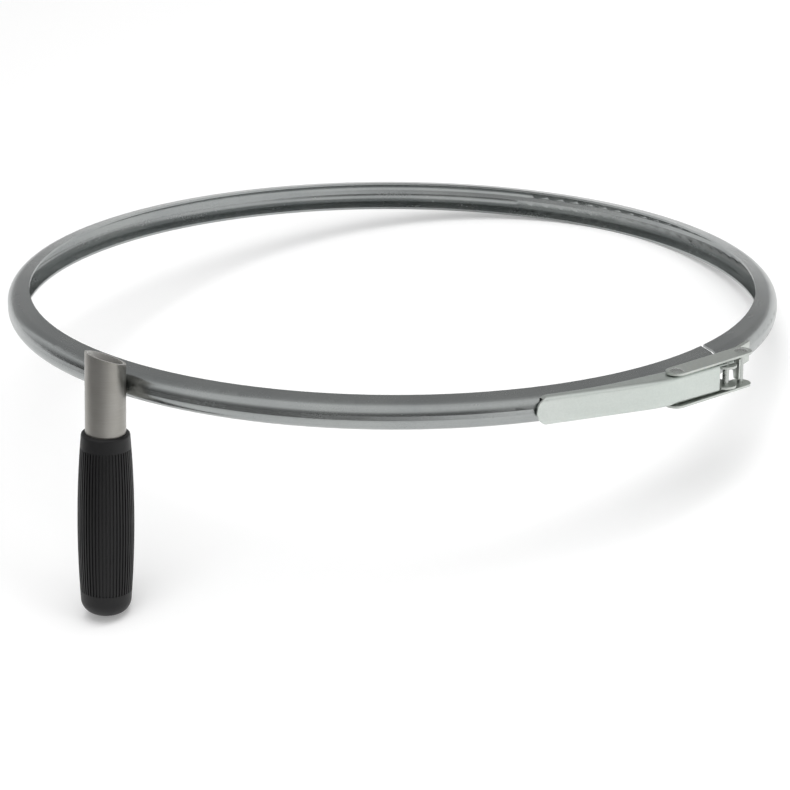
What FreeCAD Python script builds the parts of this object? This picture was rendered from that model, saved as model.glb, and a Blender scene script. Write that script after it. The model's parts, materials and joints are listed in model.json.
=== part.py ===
import FreeCAD, Part
import os
from math import acos, asin, atan2, cos, degrees, hypot, pi, radians, sin

# Bin bag holder: a sprung clamping hoop of open channel section, closed by an
# over-centre lever, with a tube handle and a ribbed grip.
# The pieces are drawn with the hoop flat and its centre at the origin, then
# laid down as the holder rests: on the grip's foot and the far side of the hoop.
# Angles are measured from the front of the hoop, -Y, towards +X.

# Hoop, in mm: a round back, and two legs that splay towards the inside
HOOP_RADIUS = 215.0
HOOP_SHEET = 1.2
HOOP_CORNER = 6.4
BACK_FLAT = 2.4
UPPER_LEG_LENGTH = 6.8
UPPER_LEG_SLOPE = 9.0
LOWER_LEG_LENGTH = 5.3
LOWER_LEG_SLOPE = 19.5
LOCK_ANGLE = 51.8
SPLIT_GAP = 2.4
SPLIT_AHEAD = 4.5
SPLIT_SLANT = -15.0

# Handle tube and its slanted top
TUBE_ANGLE = -40.8
TUBE_LEAN = 1.75
TUBE_DIAMETER = 21.3
TUBE_WALL = 1.6
TUBE_SEAT = 0.6
RIM_ABOVE_HOOP = 9.6
RIM_SLOPE = 20.3
RIM_TURN = -19.0

# Grip
GRIP_BELOW_HOOP = 15.8
GRIP_LENGTH = 100.5
GRIP_TOP_WALL = 2.15
GRIP_WAIST_WALL = 4.15
GRIP_WAIST_DROP = 52.0
GRIP_FOOT_WALL = 2.65
GRIP_TOP_ROUND = 1.5
GRIP_FOOT_ROUND = 8.0
GRIP_FLOOR = 8.0
GRIP_BORE_CLEARANCE = 0.02
RIB_COUNT = 50
RIB_DEPTH = 0.6
RIB_GROOVE_SHARE = 0.45
RIB_TOP_MARGIN = 8.0
RIB_FOOT_MARGIN = 13.0

# Closing lever, a pressed channel
LEVER_SHEET = 1.2
LEVER_HEIGHT = 15.2
LEVER_HOOP_CLEARANCE = 1.1
FLANGE_HOOP_CLEARANCE = 0.4
LEVER_REST_ARC = 106.0
LEVER_TIP_REACH = 15.0
LEVER_STRAIGHT = 58.0
LEVER_BEND_RADIUS = 60.0
LEVER_EDGE_ROUND = 2.2
LEVER_EAR_RADIUS = 4.6
WEB_END_SETBACK = 6.3
WEB_OUTSIDE_PIVOT = 1.95

# Pins and rivets
PIVOT_BACK = 6.4
PIVOT_OUT = 10.9
PIVOT_RADIUS = 1.7
CATCH_AHEAD = 9.3
CATCH_OUT = 9.9
CATCH_PIN_RADIUS = 1.6
PIVOT_TO_RIVET = 34.3
RIVET_INSIDE_WEB = 4.3
RIVET_RADIUS = 1.8
RIVET_HEAD_RADIUS = 3.7
RIVET_HEAD_HEIGHT = 1.1
INNER_HEAD_RADIUS = 2.8
INNER_HEAD_HEIGHT = 0.7
RUNNING_CLEARANCE = 0.05

# Link plates
LINK_WIDTH = 11.4
LINK_SHEET = 1.2
EAR_CLEARANCE = 0.3
LINK_CLEARANCE = 0.6

# Hinge bracket on the near end of the hoop
BRACKET_SHEET = 1.2
BRACKET_EAR_RADIUS = 5.6
BRACKET_BACK_LENGTH = 9.0
WALL_SEAT = 0.8

# Catch hook on the far end of the hoop
HOOK_SHEET = 1.5
HOOK_HEIGHT = 11.0
HOOK_PIN_CLEARANCE = 0.35
HOOK_LIP = 1.3
HOOK_FOOT_START = 19.0
HOOK_FOOT_LENGTH = 17.0

# The hoop's section: half the height of its back, and its corners' centre
BACK_HALF = BACK_FLAT / 2 + HOOP_CORNER
CORNER_RADIUS_OUT = HOOP_RADIUS - HOOP_CORNER

# Heights of the lock's layers above the hoop's middle plane
LEVER_TOP = LEVER_HEIGHT / 2
LEVER_INNER = LEVER_TOP - LEVER_SHEET
EAR_TOP = LEVER_INNER - EAR_CLEARANCE
EAR_BOTTOM = EAR_TOP - BRACKET_SHEET
LINK_BOTTOM = LEVER_TOP + LINK_CLEARANCE
LINK_TOP = LINK_BOTTOM + LINK_SHEET

# The handle's axis stands outside the hoop, bedded into its wall
TUBE_RADIUS = TUBE_DIAMETER / 2
TUBE_OUT = HOOP_RADIUS + TUBE_RADIUS - TUBE_SEAT
GRIP_TOP = -BACK_HALF - GRIP_BELOW_HOOP
GRIP_BOTTOM = GRIP_TOP - GRIP_LENGTH
GRIP_TOP_RADIUS = TUBE_RADIUS + GRIP_TOP_WALL
GRIP_WAIST_RADIUS = TUBE_RADIUS + GRIP_WAIST_WALL
GRIP_FOOT_RADIUS = TUBE_RADIUS + GRIP_FOOT_WALL

UP = FreeCAD.Vector(0, 0, 1)


def point(x, y, z=0.0):
    return FreeCAD.Vector(x, y, z)


def outward(angle):
    """Unit vector that points out of the hoop at an angle from its front."""
    return point(sin(radians(angle)), -cos(radians(angle)))


def along(angle):
    """Unit vector along the hoop at an angle, towards larger angles."""
    return point(cos(radians(angle)), sin(radians(angle)))


def lock_point(ahead, out):
    """Point given from the lock's middle: along the hoop, and out from its wall."""
    return outward(LOCK_ANGLE) * (HOOP_RADIUS + out) + along(LOCK_ANGLE) * ahead


def shifted(vector, z):
    return point(vector.x, vector.y, z)


def round_bar(centre, radius, low, high):
    return Part.makeCylinder(radius, high - low, shifted(centre, low), UP)


def prism(edges, low, high):
    """Solid over a closed outline in the middle plane, from low to high."""
    outline = Part.Wire(edges)
    outline.translate(point(0, 0, low))
    return Part.Face(outline).extrude(point(0, 0, high - low))


def line(start, end):
    return Part.LineSegment(start, end).toShape()


def arc(start, middle, end):
    return Part.Arc(start, middle, end).toShape()


def mirrored(shape):
    return shape.mirror(point(0, 0), UP)


# Hoop

def leg(side, slope, length, inset):
    """Corner and leg on one side of the section: wall end, mid-corner, leg start, lip."""
    corner = HOOP_CORNER - inset
    middle = radians((90 - slope) / 2)
    rise = radians(slope)
    flat = side * BACK_FLAT / 2
    wall = point(CORNER_RADIUS_OUT + corner, 0, flat)
    mid = point(CORNER_RADIUS_OUT + corner * cos(middle), 0, flat + side * corner * sin(middle))
    start = point(CORNER_RADIUS_OUT + corner * sin(rise), 0, flat + side * corner * cos(rise))
    lip = start + point(-cos(rise), 0, side * sin(rise)) * length
    return wall, mid, start, lip


def upper_leg(inset=0.0, extra=0.0):
    return leg(1, UPPER_LEG_SLOPE, UPPER_LEG_LENGTH + extra, inset)


def lower_leg(inset=0.0, extra=0.0):
    return leg(-1, LOWER_LEG_SLOPE, LOWER_LEG_LENGTH + extra, inset)


UPPER_LIP = upper_leg()[3]
LOWER_LIP = lower_leg()[3]


def channel_edges(upper, lower):
    """Line of the section from its upper lip, round the back, to its lower lip."""
    return [
        line(upper[3], upper[2]),
        arc(upper[2], upper[1], upper[0]),
        line(upper[0], lower[0]),
        arc(lower[0], lower[1], lower[2]),
        line(lower[2], lower[3]),
    ]


def turned_ring(edges):
    return Part.Face(Part.Wire(edges)).revolve(point(0, 0), UP, 360)


def filled_hoop():
    """The hoop's outer form as a full solid ring, with upright ends to its legs."""
    edges = channel_edges(upper_leg(), lower_leg())
    step = [LOWER_LIP, point(LOWER_LIP.x, 0), point(UPPER_LIP.x, 0), UPPER_LIP]
    edges += [line(first, second) for first, second in zip(step, step[1:])]
    return turned_ring(edges)


def hoop_hollow():
    """The space inside the channel, a sheet's thickness in from its outside."""
    upper = upper_leg(HOOP_SHEET, HOOP_CORNER)
    lower = lower_leg(HOOP_SHEET, HOOP_CORNER)
    edges = channel_edges(upper, lower)
    edges.append(line(lower[3], upper[3]))
    return turned_ring(edges)


def split_cutter():
    """Slab that parts the hoop, slanted as the sheet was sheared."""
    reach = 4 * BACK_HALF
    slab = Part.makeBox(SPLIT_GAP, 2 * reach, 2 * reach, point(-SPLIT_GAP / 2, -reach, -reach))
    slab.rotate(point(0, 0), UP, LOCK_ANGLE + SPLIT_SLANT)
    slab.translate(outward(LOCK_ANGLE) * CORNER_RADIUS_OUT + along(LOCK_ANGLE) * SPLIT_AHEAD)
    return slab


def make_hoop():
    return filled_hoop().cut(hoop_hollow()).cut(split_cutter())


# Handle

def tube_axis_point(z):
    return shifted(outward(TUBE_ANGLE) * TUBE_OUT, z)


def lean_sideways(shape):
    """Turn a handle part about the radius through the tube, its foot to the left."""
    shape.rotate(tube_axis_point(0), outward(TUBE_ANGLE), -TUBE_LEAN)


def rim_cutter():
    """Everything above the slanted top, which is highest on the outer side."""
    size = 4 * TUBE_DIAMETER
    block = Part.makeBox(size, size, size, point(-size / 2, -size / 2, 0))
    block.rotate(point(0, 0), point(0, 1, 0), -RIM_SLOPE)
    block.rotate(point(0, 0), UP, TUBE_ANGLE + RIM_TURN - 90)
    block.translate(tube_axis_point(BACK_HALF + RIM_ABOVE_HOOP))
    return block


def make_tube():
    low = GRIP_BOTTOM + GRIP_FLOOR
    high = BACK_HALF + RIM_ABOVE_HOOP + TUBE_DIAMETER
    centre = tube_axis_point(0)
    tube = round_bar(centre, TUBE_RADIUS, low, high)
    tube = tube.cut(round_bar(centre, TUBE_RADIUS - TUBE_WALL, low - 1, high + 1))
    tube = tube.cut(rim_cutter())
    lean_sideways(tube)
    return tube.cut(filled_hoop())


def grip_side():
    """Foot, waist and top of the grip's barrel side, in the X-Z plane."""
    foot = point(GRIP_FOOT_RADIUS, 0, GRIP_BOTTOM + GRIP_FOOT_ROUND)
    waist = point(GRIP_WAIST_RADIUS, 0, GRIP_TOP - GRIP_WAIST_DROP)
    top = point(GRIP_TOP_RADIUS, 0, GRIP_TOP - GRIP_TOP_ROUND)
    return foot, waist, top


def make_grip_body():
    """Barrel-shaped grip about the Z axis, without its ribs and bore."""
    foot, waist, top = grip_side()
    slant = 1 - cos(pi / 4)
    flat = foot.x - GRIP_FOOT_ROUND
    edges = [
        line(point(0, 0, GRIP_BOTTOM), point(flat, 0, GRIP_BOTTOM)),
        arc(point(flat, 0, GRIP_BOTTOM),
            point(foot.x - GRIP_FOOT_ROUND * slant, 0, GRIP_BOTTOM + GRIP_FOOT_ROUND * slant),
            foot),
        arc(foot, waist, top),
        arc(top,
            point(top.x - GRIP_TOP_ROUND * slant, 0, GRIP_TOP - GRIP_TOP_ROUND * slant),
            point(top.x - GRIP_TOP_ROUND, 0, GRIP_TOP)),
        line(point(top.x - GRIP_TOP_ROUND, 0, GRIP_TOP), point(0, 0, GRIP_TOP)),
        line(point(0, 0, GRIP_TOP), point(0, 0, GRIP_BOTTOM)),
    ]
    return turned_ring(edges)


def groove_cutters():
    """One wedge for each groove between the ribs, following the barrel."""
    side = arc(*grip_side()).Curve
    high = GRIP_TOP - RIB_TOP_MARGIN
    low = GRIP_BOTTOM + RIB_FOOT_MARGIN
    proud = 2 * GRIP_WAIST_RADIUS
    floor = []
    for z in (low, (low + high) / 2, high):
        barrel = side.Center.x + (side.Radius ** 2 - (z - side.Center.z) ** 2) ** 0.5
        floor.append(point(barrel - RIB_DEPTH, 0, z))
    edges = [
        arc(floor[0], floor[1], floor[2]),
        line(floor[2], point(proud, 0, high)),
        line(point(proud, 0, high), point(proud, 0, low)),
        line(point(proud, 0, low), floor[0]),
    ]
    pitch = 360.0 / RIB_COUNT
    wedge = Part.Face(Part.Wire(edges)).revolve(point(0, 0), UP, pitch * RIB_GROOVE_SHARE)
    wedges = []
    for number in range(RIB_COUNT):
        turned = wedge.copy()
        turned.rotate(point(0, 0), UP, number * pitch)
        wedges.append(turned)
    return wedges


def make_grip():
    grip = make_grip_body().cut(Part.makeCompound(groove_cutters()))
    bore = TUBE_RADIUS + GRIP_BORE_CLEARANCE
    grip = grip.cut(round_bar(point(0, 0), bore, GRIP_BOTTOM + GRIP_FLOOR, GRIP_TOP + 1))
    grip.translate(tube_axis_point(0))
    lean_sideways(grip)
    return grip


# Lock

REST_ANGLE = LOCK_ANGLE - degrees(LEVER_REST_ARC / HOOP_RADIUS)
WEB_OFFSET = HOOP_RADIUS + LEVER_HOOP_CLEARANCE + LEVER_SHEET
PIVOT = lock_point(-PIVOT_BACK, PIVOT_OUT)
CATCH = lock_point(CATCH_AHEAD, CATCH_OUT)
WEB_TOUCH = outward(REST_ANGLE) * WEB_OFFSET
WEB_TIP = WEB_TOUCH - along(REST_ANGLE) * LEVER_TIP_REACH
WEB_BEND = WEB_TOUCH + along(REST_ANGLE) * LEVER_STRAIGHT


def web_heading():
    """Angle of the web's second stretch, from its bend to the pivot's side."""
    run = PIVOT - WEB_BEND
    distance = hypot(run.x, run.y)
    return degrees(atan2(run.y, run.x) - asin(WEB_OUTSIDE_PIVOT / distance))


HEADING = web_heading()
WEB_END = PIVOT + outward(HEADING) * WEB_OUTSIDE_PIVOT - along(HEADING) * WEB_END_SETBACK


def rivet_centre():
    """The link's rivet: set in from the web, a fixed reach from the pivot."""
    drop = RIVET_INSIDE_WEB - WEB_OUTSIDE_PIVOT
    back = (PIVOT_TO_RIVET ** 2 - drop ** 2) ** 0.5
    return PIVOT - outward(HEADING) * drop - along(HEADING) * back


RIVET = rivet_centre()


def web_edges(inset, tip, end):
    """Web line from tip to end at a depth below its outside, with its bend."""
    turn = HEADING - REST_ANGLE
    tangent = LEVER_BEND_RADIUS * abs(sin(radians(turn / 2)) / cos(radians(turn / 2)))
    before = WEB_BEND - along(REST_ANGLE) * tangent
    after = WEB_BEND + along(HEADING) * tangent
    centre = before - outward(REST_ANGLE) * LEVER_BEND_RADIUS
    radius = LEVER_BEND_RADIUS - inset
    start = before - outward(REST_ANGLE) * inset
    finish = after - outward(HEADING) * inset
    middle = centre + outward(REST_ANGLE + turn / 2) * radius
    first = tip - outward(REST_ANGLE) * inset
    last = end - outward(HEADING) * inset
    return [line(first, start), arc(start, middle, finish), line(finish, last)], first, last


def flange_edge_radius():
    """Where the lever's flanges end: they reach over the hoop's round corners."""
    rise = LEVER_INNER - BACK_FLAT / 2
    return CORNER_RADIUS_OUT + ((HOOP_CORNER + FLANGE_HOOP_CLEARANCE) ** 2 - rise ** 2) ** 0.5


FLANGE_RADIUS = flange_edge_radius()


def hoop_side_point(angle):
    return outward(angle) * FLANGE_RADIUS


def flange_leave_angle():
    """Where the flange's inner edge leaves the hoop, straight to the ear."""
    distance = hypot(PIVOT.x, PIVOT.y)
    reach = FLANGE_RADIUS + LEVER_EAR_RADIUS
    pivot_angle = degrees(atan2(PIVOT.x, -PIVOT.y))
    return pivot_angle - degrees(acos(reach / distance))


def ear_corner():
    """Where the web's line, carried on past its end, meets the round ear."""
    reach = (LEVER_EAR_RADIUS ** 2 - WEB_OUTSIDE_PIVOT ** 2) ** 0.5
    return PIVOT + outward(HEADING) * WEB_OUTSIDE_PIVOT + along(HEADING) * reach


def lever_blank():
    """Plan of the lever, full height, with a round ear about the pivot."""
    tip_angle = degrees(atan2(WEB_TIP.x, -WEB_TIP.y))
    leave = flange_leave_angle()
    edges, first, last = web_edges(0, WEB_TIP, ear_corner())
    ear_in = PIVOT - outward(leave) * LEVER_EAR_RADIUS
    corner_angle = HEADING - degrees(asin(WEB_OUTSIDE_PIVOT / LEVER_EAR_RADIUS))
    ear_mid = PIVOT + along((corner_angle + leave + 90) / 2) * LEVER_EAR_RADIUS
    edges += [
        arc(last, ear_mid, ear_in),
        line(ear_in, hoop_side_point(leave)),
        arc(hoop_side_point(leave), hoop_side_point((leave + tip_angle) / 2), hoop_side_point(tip_angle)),
        line(hoop_side_point(tip_angle), first),
    ]
    return prism(edges, -LEVER_TOP, LEVER_TOP)


def distance_to_web(place):
    wire = Part.Wire(web_edges(0, WEB_TIP, ear_corner())[0])
    return wire.distToShape(Part.Vertex(shifted(place, 0)))[0]


def rounded_edges(blank):
    """Press radius along the web's long edges."""
    long_edges = []
    for edge in blank.Edges:
        middle = edge.valueAt((edge.FirstParameter + edge.LastParameter) / 2)
        if edge.BoundBox.ZLength < 0.01 and distance_to_web(middle) < 0.01:
            long_edges.append(edge)
    return blank.makeFillet(LEVER_EDGE_ROUND, long_edges)


def lever_hollow():
    """Room inside the lever, between its flanges and behind its web."""
    edges, first, last = web_edges(LEVER_SHEET, WEB_TIP, WEB_END)
    depth = 4 * BACK_HALF
    beyond = along(HEADING) * (WEB_END_SETBACK + LEVER_EAR_RADIUS * 2)
    past = first - along(REST_ANGLE) * LEVER_TIP_REACH
    corner = WEB_END + outward(HEADING) * LEVER_SHEET
    edges += [
        line(last, corner),
        line(corner, corner + beyond),
        line(corner + beyond, corner + beyond - outward(HEADING) * depth),
        line(corner + beyond - outward(HEADING) * depth, past - outward(REST_ANGLE) * depth),
        line(past - outward(REST_ANGLE) * depth, past),
        line(past, first),
    ]
    return prism(edges, -LEVER_INNER, LEVER_INNER)


def tip_cutter():
    """What lies outside the lever's half-round tip."""
    radius = LEVER_TOP
    size = 4 * LEVER_TOP
    block = Part.makeBox(radius + size, size, 2 * size, point(-radius - size, -size / 2, -size))
    keep = Part.makeCylinder(radius, size, point(0, -size / 2, 0), point(0, 1, 0))
    block = block.cut(keep).cut(Part.makeBox(size, size, 2 * size, point(0, -size / 2, -size)))
    block.rotate(point(0, 0), UP, REST_ANGLE)
    block.translate(WEB_TIP + along(REST_ANGLE) * radius)
    return block


def make_lever():
    lever = rounded_edges(lever_blank()).cut(lever_hollow()).cut(tip_cutter())
    lever = lever.cut(round_bar(PIVOT, PIVOT_RADIUS, -LEVER_HEIGHT, LEVER_HEIGHT))
    hole = RIVET_RADIUS + RUNNING_CLEARANCE
    return lever.cut(round_bar(RIVET, hole, -LEVER_HEIGHT, LEVER_HEIGHT))


def make_pivot_pin():
    return round_bar(PIVOT, PIVOT_RADIUS, -LEVER_TOP, LEVER_TOP)


def make_link():
    """Upper link plate, round-ended about the rivet and the catch pin."""
    run = CATCH - RIVET
    heading = degrees(atan2(run.y, run.x))
    side = outward(heading) * (LINK_WIDTH / 2)
    end = along(heading) * (LINK_WIDTH / 2)
    edges = [
        line(RIVET + side, CATCH + side),
        arc(CATCH + side, CATCH + end, CATCH - side),
        line(CATCH - side, RIVET - side),
        arc(RIVET - side, RIVET - end, RIVET + side),
    ]
    plate = prism(edges, LINK_BOTTOM, LINK_TOP)
    plate = plate.cut(round_bar(RIVET, RIVET_RADIUS, 0, LINK_TOP + 1))
    return plate.cut(round_bar(CATCH, CATCH_PIN_RADIUS, 0, LINK_TOP + 1))


def rivet_head(centre):
    """Low domed head on top of a link."""
    rise = RIVET_HEAD_HEIGHT
    ball_radius = (RIVET_HEAD_RADIUS ** 2 + rise ** 2) / (2 * rise)
    ball = Part.makeSphere(ball_radius, shifted(centre, LINK_TOP + rise - ball_radius))
    return ball.common(round_bar(centre, RIVET_HEAD_RADIUS * 2, LINK_TOP, LINK_TOP + 2 * rise))


def make_link_rivets():
    shank = round_bar(RIVET, RIVET_RADIUS, LEVER_INNER, LINK_TOP)
    inner = round_bar(RIVET, INNER_HEAD_RADIUS, LEVER_INNER - INNER_HEAD_HEIGHT, LEVER_INNER)
    upper = shank.fuse(rivet_head(RIVET)).fuse(inner).removeSplitter()
    return Part.makeCompound([upper, mirrored(upper)])


def make_catch_pin():
    shank = round_bar(CATCH, CATCH_PIN_RADIUS, -LINK_TOP, LINK_TOP)
    head = rivet_head(CATCH)
    return shank.fuse(head).fuse(mirrored(head)).removeSplitter()


def hoop_wall_plate(start, end, sheet, height):
    """Plate bedded on the hoop's round back between two places along it."""
    first = LOCK_ANGLE + degrees(start / HOOP_RADIUS)
    last = LOCK_ANGLE + degrees(end / HOOP_RADIUS)
    inner = HOOP_RADIUS - WALL_SEAT
    outer = HOOP_RADIUS + sheet
    middle = (first + last) / 2
    edges = [
        arc(outward(first) * inner, outward(middle) * inner, outward(last) * inner),
        line(outward(last) * inner, outward(last) * outer),
        arc(outward(last) * outer, outward(middle) * outer, outward(first) * outer),
        line(outward(first) * outer, outward(first) * inner),
    ]
    return prism(edges, -height / 2, height / 2)


def bracket_ear():
    """Upper ear, from the hoop's wall to a round end about the pivot."""
    base = PIVOT - outward(LOCK_ANGLE) * PIVOT_OUT
    side = along(LOCK_ANGLE) * BRACKET_EAR_RADIUS
    end = outward(LOCK_ANGLE) * BRACKET_EAR_RADIUS
    sink = outward(LOCK_ANGLE) * HOOP_CORNER
    edges = [
        line(base - side - sink, PIVOT - side),
        arc(PIVOT - side, PIVOT + end, PIVOT + side),
        line(PIVOT + side, base + side - sink),
        line(base + side - sink, base - side - sink),
    ]
    return prism(edges, EAR_BOTTOM, EAR_TOP)


def make_hinge_bracket():
    end = -PIVOT_BACK + BRACKET_EAR_RADIUS
    start = end - 2 * BRACKET_EAR_RADIUS - BRACKET_BACK_LENGTH
    back = hoop_wall_plate(start, end, BRACKET_SHEET, 2 * EAR_TOP)
    ear = bracket_ear()
    bracket = back.fuse(ear).fuse(mirrored(ear)).cut(filled_hoop())
    bore = PIVOT_RADIUS + RUNNING_CLEARANCE
    return bracket.cut(round_bar(PIVOT, bore, -LEVER_HEIGHT, LEVER_HEIGHT)).removeSplitter()


def make_catch_hook():
    """Strip that leaves the hoop's wall and curls round behind the catch pin."""
    inner = CATCH_PIN_RADIUS + HOOK_PIN_CLEARANCE
    outer = inner + HOOK_SHEET
    foot_angle = LOCK_ANGLE + degrees(HOOK_FOOT_START / HOOP_RADIUS)
    foot = outward(foot_angle) * HOOP_RADIUS
    run = CATCH - foot
    distance = hypot(run.x, run.y)
    ramp = degrees(atan2(run.y, run.x) - asin(outer / distance)) + 180
    low_outer = CATCH - outward(ramp) * outer
    low_inner = CATCH - outward(ramp) * inner
    lip = outward(LOCK_ANGLE) * HOOK_LIP
    left_outer = CATCH - along(LOCK_ANGLE) * outer
    left_inner = CATCH - along(LOCK_ANGLE) * inner
    turn = (ramp + LOCK_ANGLE) / 2
    bisector = (outward(turn) + along(turn)) * cos(pi / 4)
    foot_top = foot + outward(ramp) * HOOK_SHEET
    edges = [
        line(foot, low_outer),
        arc(low_outer, CATCH - bisector * outer, left_outer),
        line(left_outer, left_outer + lip),
        line(left_outer + lip, left_inner + lip),
        line(left_inner + lip, left_inner),
        arc(left_inner, CATCH - bisector * inner, low_inner),
        line(low_inner, foot_top),
        line(foot_top, foot),
    ]
    strip = prism(edges, -HOOK_HEIGHT / 2, HOOK_HEIGHT / 2)
    foot_plate = hoop_wall_plate(HOOK_FOOT_START - HOOK_SHEET, HOOK_FOOT_START + HOOK_FOOT_LENGTH,
                                 HOOK_SHEET, HOOK_HEIGHT)
    return foot_plate.fuse(strip).cut(filled_hoop()).removeSplitter()


# Resting attitude

def slope_under(rest_x, rest_z, rest_round):
    """Slope of a floor under the grip's foot and one round of the far section."""
    foot_x = TUBE_OUT - (GRIP_FOOT_RADIUS - GRIP_FOOT_ROUND)
    foot_z = GRIP_BOTTOM + GRIP_FOOT_ROUND
    span = foot_x + rest_x
    drop = rest_z - foot_z
    return degrees(atan2(drop, span) + asin((GRIP_FOOT_ROUND - rest_round) / hypot(span, drop)))


def lean_angle():
    """Slope of the floor under the grip's foot and the hoop's far lower edge."""
    on_lip = slope_under(LOWER_LIP.x, LOWER_LIP.z, 0)
    on_corner = slope_under(CORNER_RADIUS_OUT, -BACK_FLAT / 2, HOOP_CORNER)
    return min(on_lip, on_corner)


def lay_down(shapes):
    """Turn the holder as it rests, with the floor at zero below its middle."""
    turn = FreeCAD.Rotation(along(TUBE_ANGLE), -lean_angle())
    place = FreeCAD.Placement(point(0, 0), turn)
    turned = Part.makeCompound([shape.copy() for shape in shapes.values()])
    turned.transformShape(place.toMatrix())
    box = turned.optimalBoundingBox(False, False)
    place.Base = point(-box.Center.x, -box.Center.y, -box.ZMin)
    return place


def build():
    link = make_link()
    return {
        "clamp_hoop": make_hoop(),
        "handle_tube": make_tube(),
        "handle_grip": make_grip(),
        "hinge_bracket": make_hinge_bracket(),
        "catch_hook": make_catch_hook(),
        "closing_lever": make_lever(),
        "pivot_pin": make_pivot_pin(),
        "upper_link": link,
        "lower_link": mirrored(link),
        "link_rivets": make_link_rivets(),
        "catch_pin": make_catch_pin(),
    }


SHAPES = build()
PLACE = lay_down(SHAPES)
os.makedirs("parts", exist_ok=True)
for name, shape in SHAPES.items():
    shape.transformShape(PLACE.toMatrix())
    shape.exportStep("parts/" + name + ".step")
    print(name, len(shape.Solids), "solids, volume", round(shape.Volume), "valid", shape.isValid())
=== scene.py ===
import json
from math import atan2, cos, hypot, pi, radians, sin

import bpy
from mathutils import Matrix, Vector

# Bin bag holder: a sprung steel hoop with an over-centre lever, a tube handle
# and a black ribbed grip. Metres throughout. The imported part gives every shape.

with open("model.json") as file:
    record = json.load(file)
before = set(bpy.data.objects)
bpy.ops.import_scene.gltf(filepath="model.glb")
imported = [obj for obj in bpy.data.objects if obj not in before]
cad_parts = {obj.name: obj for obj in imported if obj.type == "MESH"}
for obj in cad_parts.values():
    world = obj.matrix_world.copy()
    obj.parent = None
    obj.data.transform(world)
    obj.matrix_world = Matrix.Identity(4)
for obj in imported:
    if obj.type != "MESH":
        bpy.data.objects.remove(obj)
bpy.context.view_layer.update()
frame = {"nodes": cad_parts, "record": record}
nodes = frame["nodes"]

# Place of the hoop: its centre, and its axis as the holder rests. The sack's
# mount is at the hoop's upper lip, a little above the centre.
UPPER_LIP_RISE = 0.0079775
clamp = next(m for m in frame["record"]["mounts"] if m["name"] == "sack_clamp")
HOOP_AXIS = Vector(clamp["axis"])
HOOP_CENTRE = Vector(clamp["pos_m"]) - HOOP_AXIS * UPPER_LIP_RISE
grip_hold = next(m for m in frame["record"]["mounts"] if m["name"] == "hand_grip")
HANDLE_AT = Vector(grip_hold["pos_m"])
HANDLE_AXIS = Vector(grip_hold["axis"])
BORE_EDGE = (0.0093, 0.0096)
HOOP_TURN = Vector((0, 0, 1)).rotation_difference(HOOP_AXIS)
LAID = Matrix.Translation(HOOP_CENTRE) @ HOOP_TURN.to_matrix().to_4x4()
HOOP_RADIUS = 0.215

# Camera, fitted to the hoop's outlines: distances from the hoop's centre, in
# the hoop's own frame, and the picture's numbers in pixels
PICTURE_WIDTH = 790
FOCAL = 3243.81
DISTANCE = 8.4915 * HOOP_RADIUS
ELEVATION = radians(17.1046)
CENTRE_AT = (392.44, 292.40)
ROLL = radians(-0.184)
SENSOR_MM = 36.0
NEAREST = 0.05
FARTHEST = 100.0


# Helpers

def stand(name, data):
    """New object in the scene that holds the data."""
    thing = bpy.data.objects.new(name, data)
    bpy.context.scene.collection.objects.link(thing)
    return thing


def bare_tree(owner):
    """Empty node tree of a material or a world."""
    owner.use_nodes = True
    owner.node_tree.nodes.clear()
    return owner.node_tree


def add(tree, kind, inputs=None, **settings):
    """New node; an input is given a value, or another node's output."""
    node = tree.nodes.new(kind)
    for key, value in settings.items():
        setattr(node, key, value)
    for key, value in (inputs or {}).items():
        if isinstance(value, bpy.types.NodeSocket):
            tree.links.new(value, node.inputs[key])
        else:
            node.inputs[key].default_value = value
    return node


def math(tree, operation, first, second=0.0):
    return add(tree, "ShaderNodeMath", {0: first, 1: second}, operation=operation).outputs[0]


def reckon(tree, operation, first, second):
    """Vector that the operation gives for two vectors."""
    return add(tree, "ShaderNodeVectorMath", {0: first, 1: second}, operation=operation).outputs[0]


def length(tree, place):
    return add(tree, "ShaderNodeVectorMath", {0: place}, operation="LENGTH").outputs["Value"]


def object_place(tree):
    return add(tree, "ShaderNodeTexCoord").outputs["Object"]


def noise(tree, place, scale, detail, rough):
    inputs = {"Vector": place, "Scale": scale, "Detail": detail, "Roughness": rough}
    return add(tree, "ShaderNodeTexNoise", inputs).outputs["Fac"]


def spread(tree, value, low, high, out_low=0.0, out_high=1.0):
    """Value taken from one range to another, held at its ends."""
    inputs = {"Value": value, "From Min": low, "From Max": high, "To Min": out_low, "To Max": out_high}
    return add(tree, "ShaderNodeMapRange", inputs).outputs["Result"]


def blend_colour(tree, share, first, second, kind="MIX"):
    """Colour between two; 6, 7 and output 2 are the node's colour sockets."""
    inputs = {0: share, 6: first, 7: second}
    return add(tree, "ShaderNodeMix", inputs, data_type="RGBA", blend_type=kind).outputs[2]


def streaked(tree, place, factors, detail=3.0, rough=0.6):
    """Noise drawn out, with its own scale along each axis."""
    return noise(tree, reckon(tree, "MULTIPLY", place, factors), 1.0, detail, rough)


def rgb(*values):
    return (*values, 1.0)


def new_material(name):
    material = bpy.data.materials.new(name)
    tree = bare_tree(material)
    shader = add(tree, "ShaderNodeBsdfPrincipled")
    add(tree, "ShaderNodeOutputMaterial", {0: shader.outputs[0]})
    return material, tree, shader


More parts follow.
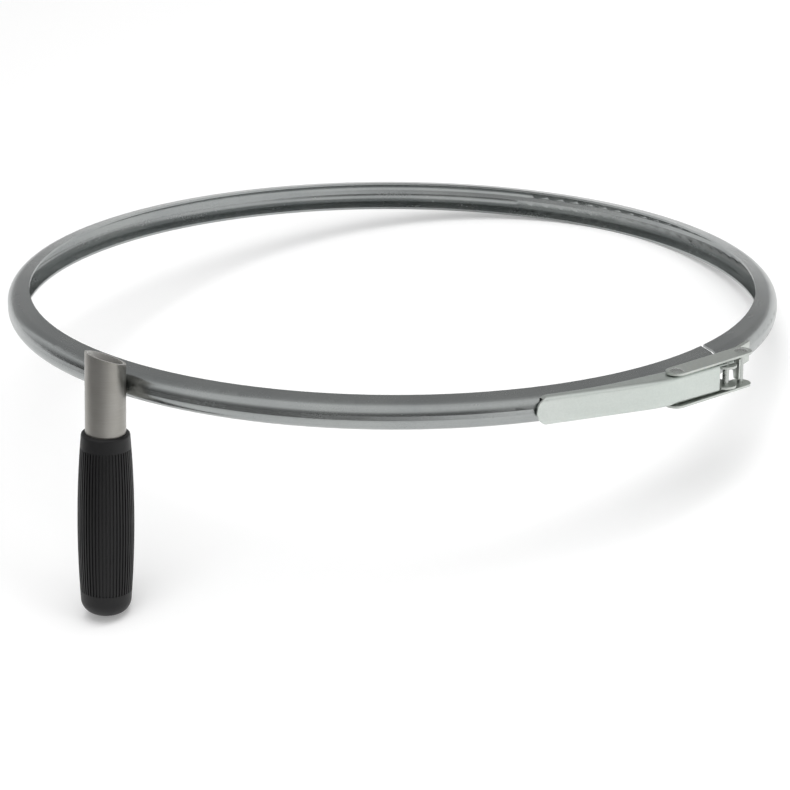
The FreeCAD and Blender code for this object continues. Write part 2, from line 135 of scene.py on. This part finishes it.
def hoop_place(tree):
    """Two places in the hoop's frame: metres round, out and up, and metres along its axes."""
    place = reckon(tree, "SUBTRACT", object_place(tree), HOOP_CENTRE)
    inputs = {"Vector": place, "Axis": HOOP_TURN.axis, "Angle": -HOOP_TURN.angle}
    place = add(tree, "ShaderNodeVectorRotate", inputs, rotation_type="AXIS_ANGLE").outputs[0]
    across, depth, high = add(tree, "ShaderNodeSeparateXYZ", {0: place}).outputs
    angle = math(tree, "ARCTAN2", depth, across)
    square = math(tree, "ADD", math(tree, "POWER", across, 2.0), math(tree, "POWER", depth, 2.0))
    out = math(tree, "SQRT", square)
    run = math(tree, "MULTIPLY", angle, HOOP_RADIUS)
    return add(tree, "ShaderNodeCombineXYZ", {0: run, 1: out, 2: high}).outputs[0], place


def bump(tree, height, distance, under=None):
    """Normal for a height in metres, over the one beneath."""
    inputs = {"Height": height, "Distance": distance, "Strength": 1.0}
    if under is not None:
        inputs["Normal"] = under
    return add(tree, "ShaderNodeBump", inputs).outputs[0]


# Materials

DULL_ZINC = rgb(0.40, 0.42, 0.42)
DULL_TUBE = rgb(0.42, 0.40, 0.38)
SCUFF = 0.04


def zinc_steel(name, colour, tint, roughness, streak):
    """Zinc-plated strip: satin grain, faint rolling streaks, slightly duller patches."""
    material, tree, shader = new_material(name)
    strip, flat = hoop_place(tree)
    cloud = noise(tree, flat, 26.0, 3.0, 0.55)
    mottle = noise(tree, flat, 900.0, 4.0, 0.6)
    grain = noise(tree, flat, 3200.0, 2.0, 0.6)
    streaks = streaked(tree, strip, (12.0, 1500.0, 1500.0))
    rubbed = spread(tree, streaked(tree, strip, (30.0, 120.0, 120.0), 5.0, 0.65), 0.45, 0.7)
    shade = blend_colour(tree, spread(tree, cloud, 0.35, 0.65), colour, tint)
    shade = blend_colour(tree, spread(tree, mottle, 0.3, 0.7, 0.0, 0.10), shade, DULL_ZINC, "MULTIPLY")
    lines = spread(tree, streaks, 0.35, 0.7, 0.0, 0.10 * streak)
    shade = blend_colour(tree, lines, shade, DULL_ZINC, "MULTIPLY")
    tree.links.new(shade, shader.inputs["Base Color"])
    rough = math(tree, "ADD", roughness, spread(tree, mottle, 0.3, 0.7, -0.02, 0.02))
    rough = math(tree, "ADD", rough, math(tree, "MULTIPLY", rubbed, SCUFF))
    tree.links.new(rough, shader.inputs["Roughness"])
    normal = bump(tree, streaks, 0.000006 * streak)
    normal = bump(tree, grain, 0.000003, under=normal)
    tree.links.new(normal, shader.inputs["Normal"])
    shader.inputs["Metallic"].default_value = 1.0
    return material


def inside_tube(tree):
    """1 on the tube's bore, 0 on its outer side; it marks the bore for its painted light and rougher finish.
    """
    place = reckon(tree, "SUBTRACT", object_place(tree), HANDLE_AT)
    out = length(tree, reckon(tree, "CROSS_PRODUCT", place, HANDLE_AXIS))
    return spread(tree, out, *BORE_EDGE, 1.0, 0.0)


def brushed_tube(name):
    """Ground tube: fine rings round it, a warm grey cast that varies, and painted light in its bore."""
    material, tree, shader = new_material(name)
    flat = hoop_place(tree)[1]
    rings = streaked(tree, flat, (90.0, 90.0, 4200.0))
    cloud = noise(tree, flat, 45.0, 3.0, 0.55)
    grain = noise(tree, flat, 2600.0, 3.0, 0.6)
    painted_light_bore = inside_tube(tree)
    shade = blend_colour(tree, spread(tree, cloud, 0.35, 0.65), rgb(0.33, 0.32, 0.295), rgb(0.37, 0.36, 0.34))
    # Painted light: the bore is given a much lighter grey than the outer side, standing in for the light seen
    # inside the tube.
    shade = blend_colour(tree, painted_light_bore, shade, rgb(0.82, 0.81, 0.79))
    shade = blend_colour(tree, spread(tree, rings, 0.35, 0.7, 0.0, 0.14), shade, DULL_TUBE, "MULTIPLY")
    tree.links.new(shade, shader.inputs["Base Color"])
    rough = math(tree, "ADD", 0.34, spread(tree, rings, 0.3, 0.7, -0.03, 0.03))
    rough = math(tree, "ADD", rough, math(tree, "MULTIPLY", painted_light_bore, 0.2))
    tree.links.new(rough, shader.inputs["Roughness"])
    normal = bump(tree, rings, 0.000005)
    normal = bump(tree, grain, 0.000004, under=normal)
    tree.links.new(normal, shader.inputs["Normal"])
    shader.inputs["Metallic"].default_value = 1.0
    return material


def black_grip(name):
    """Soft black plastic: fine mould grain, faint dust in patches."""
    material, tree, shader = new_material(name)
    flat = hoop_place(tree)[1]
    grain = noise(tree, flat, 1800.0, 3.0, 0.6)
    cloud = noise(tree, flat, 60.0, 4.0, 0.6)
    black, dusty = rgb(0.0035, 0.0035, 0.004), rgb(0.006, 0.006, 0.0065)
    shade = blend_colour(tree, spread(tree, cloud, 0.35, 0.7), black, dusty)
    shade = blend_colour(tree, spread(tree, grain, 0.5, 0.8, 0.0, 0.3), shade, rgb(0.010, 0.010, 0.0105))
    tree.links.new(shade, shader.inputs["Base Color"])
    rough = math(tree, "ADD", 0.45, spread(tree, cloud, 0.3, 0.7, -0.04, 0.06))
    tree.links.new(rough, shader.inputs["Roughness"])
    tree.links.new(bump(tree, grain, 0.00002), shader.inputs["Normal"])
    shader.inputs["Specular IOR Level"].default_value = 0.35
    return material


def dress():
    """Give every node of the part its material."""
    hoop = zinc_steel("hoop_zinc", rgb(0.34, 0.355, 0.355), rgb(0.38, 0.395, 0.39), 0.24, streak=1.0)
    lever = zinc_steel("lever_zinc", rgb(0.60, 0.645, 0.61), rgb(0.64, 0.675, 0.645), 0.36, streak=0.5)
    pressing = zinc_steel("pressing_zinc", rgb(0.58, 0.61, 0.575), rgb(0.62, 0.645, 0.615), 0.46, streak=0.6)
    pin = zinc_steel("pin_zinc", rgb(0.47, 0.49, 0.47), rgb(0.51, 0.525, 0.505), 0.27, streak=0.2)
    tube, grip = brushed_tube("tube_steel"), black_grip("grip_plastic")
    choice = {
        "clamp_hoop": hoop, "handle_tube": tube, "handle_grip": grip,
        "hinge_bracket": pressing, "catch_hook": pressing, "closing_lever": lever, "pivot_pin": pin,
        "upper_link": pressing, "lower_link": pressing, "link_rivets": pin, "catch_pin": pin,
    }
    for name, material in choice.items():
        mesh = nodes[name].data
        mesh.materials.clear()
        mesh.materials.append(material)


# Stage

def make_camera():
    """Camera that looks at the hoop from the photograph's place."""
    back = Vector((0, -cos(ELEVATION), sin(ELEVATION)))
    forward = -back
    right = Vector((1, 0, 0))
    up = right.cross(forward)
    right, up = right * cos(ROLL) - up * sin(ROLL), right * sin(ROLL) + up * cos(ROLL)
    half = PICTURE_WIDTH / 2
    pan = atan2(half - CENTRE_AT[0], FOCAL)
    tip = atan2(CENTRE_AT[1] - half, hypot(FOCAL, CENTRE_AT[0] - half))
    right, forward = right * cos(pan) - forward * sin(pan), right * sin(pan) + forward * cos(pan)
    up, forward = up * cos(tip) - forward * sin(tip), up * sin(tip) + forward * cos(tip)
    axes = Matrix((right, up, -forward)).transposed().to_4x4()
    camera = stand("camera", bpy.data.cameras.new("camera"))
    camera.matrix_world = LAID @ Matrix.Translation(back * DISTANCE) @ axes
    camera.data.sensor_width = SENSOR_MM
    camera.data.lens = FOCAL * SENSOR_MM / PICTURE_WIDTH
    camera.data.clip_start = NEAREST
    camera.data.clip_end = FARTHEST
    bpy.context.scene.camera = camera


def seen_directly(tree):
    """1 for rays that show a surface: straight, mirrored or through glass."""
    path = add(tree, "ShaderNodeLightPath")
    seen = math(tree, "MAXIMUM", path.outputs["Is Camera Ray"], path.outputs["Is Glossy Ray"])
    return math(tree, "MAXIMUM", seen, path.outputs["Is Transmission Ray"])


WHITE = rgb(1.0, 1.0, 1.0)
FLOOR_REACH = 30.0
FLOOR_COLOUR = rgb(0.86, 0.86, 0.86)
FLOOR_LIFT_PLACES = (0.8, 4.0)
FLOOR_LIFT = (0.2, 0.7)


def make_world(level):
    """White where it is seen, and softer as a light."""
    world = bpy.data.worlds.new("studio")
    bpy.context.scene.world = world
    tree = bare_tree(world)
    strength = spread(tree, seen_directly(tree), 0.0, 1.0, level, 1.0)
    back = add(tree, "ShaderNodeBackground", {"Color": WHITE, "Strength": strength})
    add(tree, "ShaderNodeOutputWorld", {0: back.outputs[0]})


def make_floor():
    """Pale floor that keeps the shadow and stays white far away."""
    mesh = bpy.data.meshes.new("floor")
    far = FLOOR_REACH
    mesh.from_pydata([(-far, -far, 0), (far, -far, 0), (far, far, 0), (-far, far, 0)], [], [(0, 1, 2, 3)])
    floor = stand("floor", mesh)
    material = bpy.data.materials.new("floor_white")
    tree = bare_tree(material)
    plain = add(tree, "ShaderNodeBsdfDiffuse", {"Color": FLOOR_COLOUR})
    level = spread(tree, length(tree, object_place(tree)), *FLOOR_LIFT_PLACES, *FLOOR_LIFT)
    lift = add(tree, "ShaderNodeEmission", {"Strength": math(tree, "MULTIPLY", seen_directly(tree), level)})
    both = add(tree, "ShaderNodeAddShader", {0: plain.outputs[0], 1: lift.outputs[0]})
    add(tree, "ShaderNodeOutputMaterial", {0: both.outputs[0]})
    mesh.materials.append(material)


def make_lamp(name, place, aim, size, power):
    """Soft box that the camera and mirror rays pass."""
    data = bpy.data.lights.new(name, "AREA")
    data.shape = "RECTANGLE"
    data.size, data.size_y = size
    data.energy = power
    lamp = stand(name, data)
    lamp.location = place
    lamp.rotation_euler = (Vector(aim) - Vector(place)).to_track_quat("-Z", "Y").to_euler()
    lamp.visible_camera = False
    lamp.visible_glossy = False


# Two open studio cards, one low in front and one over the back. A stop is a
# place on the card, in metres up or degrees over, and the level there. 1 is the
# white of the floor and the world, which stay in the metal's reflections.
FRONT_STOPS = ((0.0, 0.05), (0.08, 0.06), (0.20, 0.20), (0.34, 0.45), (0.50, 0.80), (0.60, 1.0))
FRONT_CARD_DISTANCE = 0.9
FRONT_CARD_SPAN = (-125, 50)
FRONT_CARD_ROWS = (0.0, 0.15, 0.3, 0.45, 0.6)
FRONT_CARD_LEFT_FADE = (-95, -125)
FRONT_CARD_RIGHT_FADE = (22, 50)
BACK_STOPS = ((70, 1.0), (93, 0.58), (110, 0.46), (145, 0.40), (190, 0.45))
BACK_CARD_DISTANCE = 3.0
BACK_CARD_SIDE = 85
BACK_CARD_ROWS = 25
CARD_STEPS = 33


def level_ramp(tree, value, stops):
    """Grey level for a place on a card, smooth between the stops."""
    first, last = stops[0][0], stops[-1][0]
    ramp = add(tree, "ShaderNodeValToRGB", {"Fac": spread(tree, value, first, last)})
    curve = ramp.color_ramp
    curve.interpolation = "EASE"
    for index, (place, level) in enumerate(stops):
        at = (place - first) / (last - first)
        stop = curve.elements[index] if index < 2 else curve.elements.new(at)
        stop.position = at
        stop.color = rgb(level, level, level)
    return ramp.outputs[0]


def make_card(name, points, shade):
    """Open card that mirror rays see, from rows of points; shade gives its colour."""
    rows = len(points) // CARD_STEPS
    faces = []
    for row in range(rows - 1):
        for step in range(CARD_STEPS - 1):
            here = row * CARD_STEPS + step
            faces.append((here, here + 1, here + CARD_STEPS + 1, here + CARD_STEPS))
    mesh = bpy.data.meshes.new(name)
    mesh.from_pydata(points, [], faces)
    card = stand(name, mesh)
    material = bpy.data.materials.new(name)
    tree = bare_tree(material)
    parts = add(tree, "ShaderNodeSeparateXYZ", {0: object_place(tree)})
    glow = add(tree, "ShaderNodeEmission", {"Color": shade(tree, *parts.outputs), "Strength": 1.0})
    add(tree, "ShaderNodeOutputMaterial", {0: glow.outputs[0]})
    mesh.materials.append(material)
    card.visible_camera = False
    card.visible_diffuse = False
    card.visible_transmission = False
    card.visible_shadow = False
    return card


def front_shade(tree, across, depth, high):
    """Dark at the floor, white at the top edge and at both ends."""
    turn = math(tree, "ARCTAN2", across, math(tree, "MULTIPLY", depth, -1.0))
    right = spread(tree, turn, *(radians(angle) for angle in FRONT_CARD_RIGHT_FADE))
    left = spread(tree, turn, *(radians(angle) for angle in FRONT_CARD_LEFT_FADE))
    ends = math(tree, "MAXIMUM", right, left)
    return blend_colour(tree, ends, level_ramp(tree, high, FRONT_STOPS), WHITE)


def back_shade(tree, across, depth, high):
    """White where it starts overhead, grey towards the back."""
    over = math(tree, "ARCTAN2", high, math(tree, "MULTIPLY", depth, -1.0))
    over = math(tree, "ADD", over, math(tree, "MULTIPLY", math(tree, "LESS_THAN", over, 0.0), 2 * pi))
    return level_ramp(tree, math(tree, "DIVIDE", over, radians(1)), BACK_STOPS)


def make_front_card():
    """Curved card on the floor, round the front of the part."""
    first, last = FRONT_CARD_SPAN
    points = []
    for high in FRONT_CARD_ROWS:
        for step in range(CARD_STEPS):
            turn = radians(first + (last - first) * step / (CARD_STEPS - 1))
            across, depth = sin(turn) * FRONT_CARD_DISTANCE, -cos(turn) * FRONT_CARD_DISTANCE
            points.append((across, depth, high))
    make_card("front_card", points, front_shade)


def make_back_card():
    """Part of a ball round the hoop's centre, from overhead to the back."""
    first, last = BACK_STOPS[0][0], BACK_STOPS[-1][0]
    points = []
    for row in range(BACK_CARD_ROWS):
        over = radians(first + (last - first) * row / (BACK_CARD_ROWS - 1))
        for step in range(CARD_STEPS):
            side = radians(-BACK_CARD_SIDE + 2 * BACK_CARD_SIDE * step / (CARD_STEPS - 1))
            across = sin(side) * BACK_CARD_DISTANCE
            depth = -cos(side) * cos(over) * BACK_CARD_DISTANCE
            points.append((across, depth, cos(side) * sin(over) * BACK_CARD_DISTANCE))
    make_card("back_card", points, back_shade).matrix_world = LAID


make_camera()
make_world(level=0.45)
make_floor()
make_lamp("top_box", place=(0.3, -0.3, 2.2), aim=(0, 0, 0), size=(2.2, 1.6), power=34.0)
make_lamp("right_box", place=(1.7, -1.5, 1.3), aim=(0, 0, 0.1), size=(0.8, 1.2), power=9.0)
make_front_card()
make_back_card()
dress()

bpy.context.scene.view_settings.view_transform = "Standard"
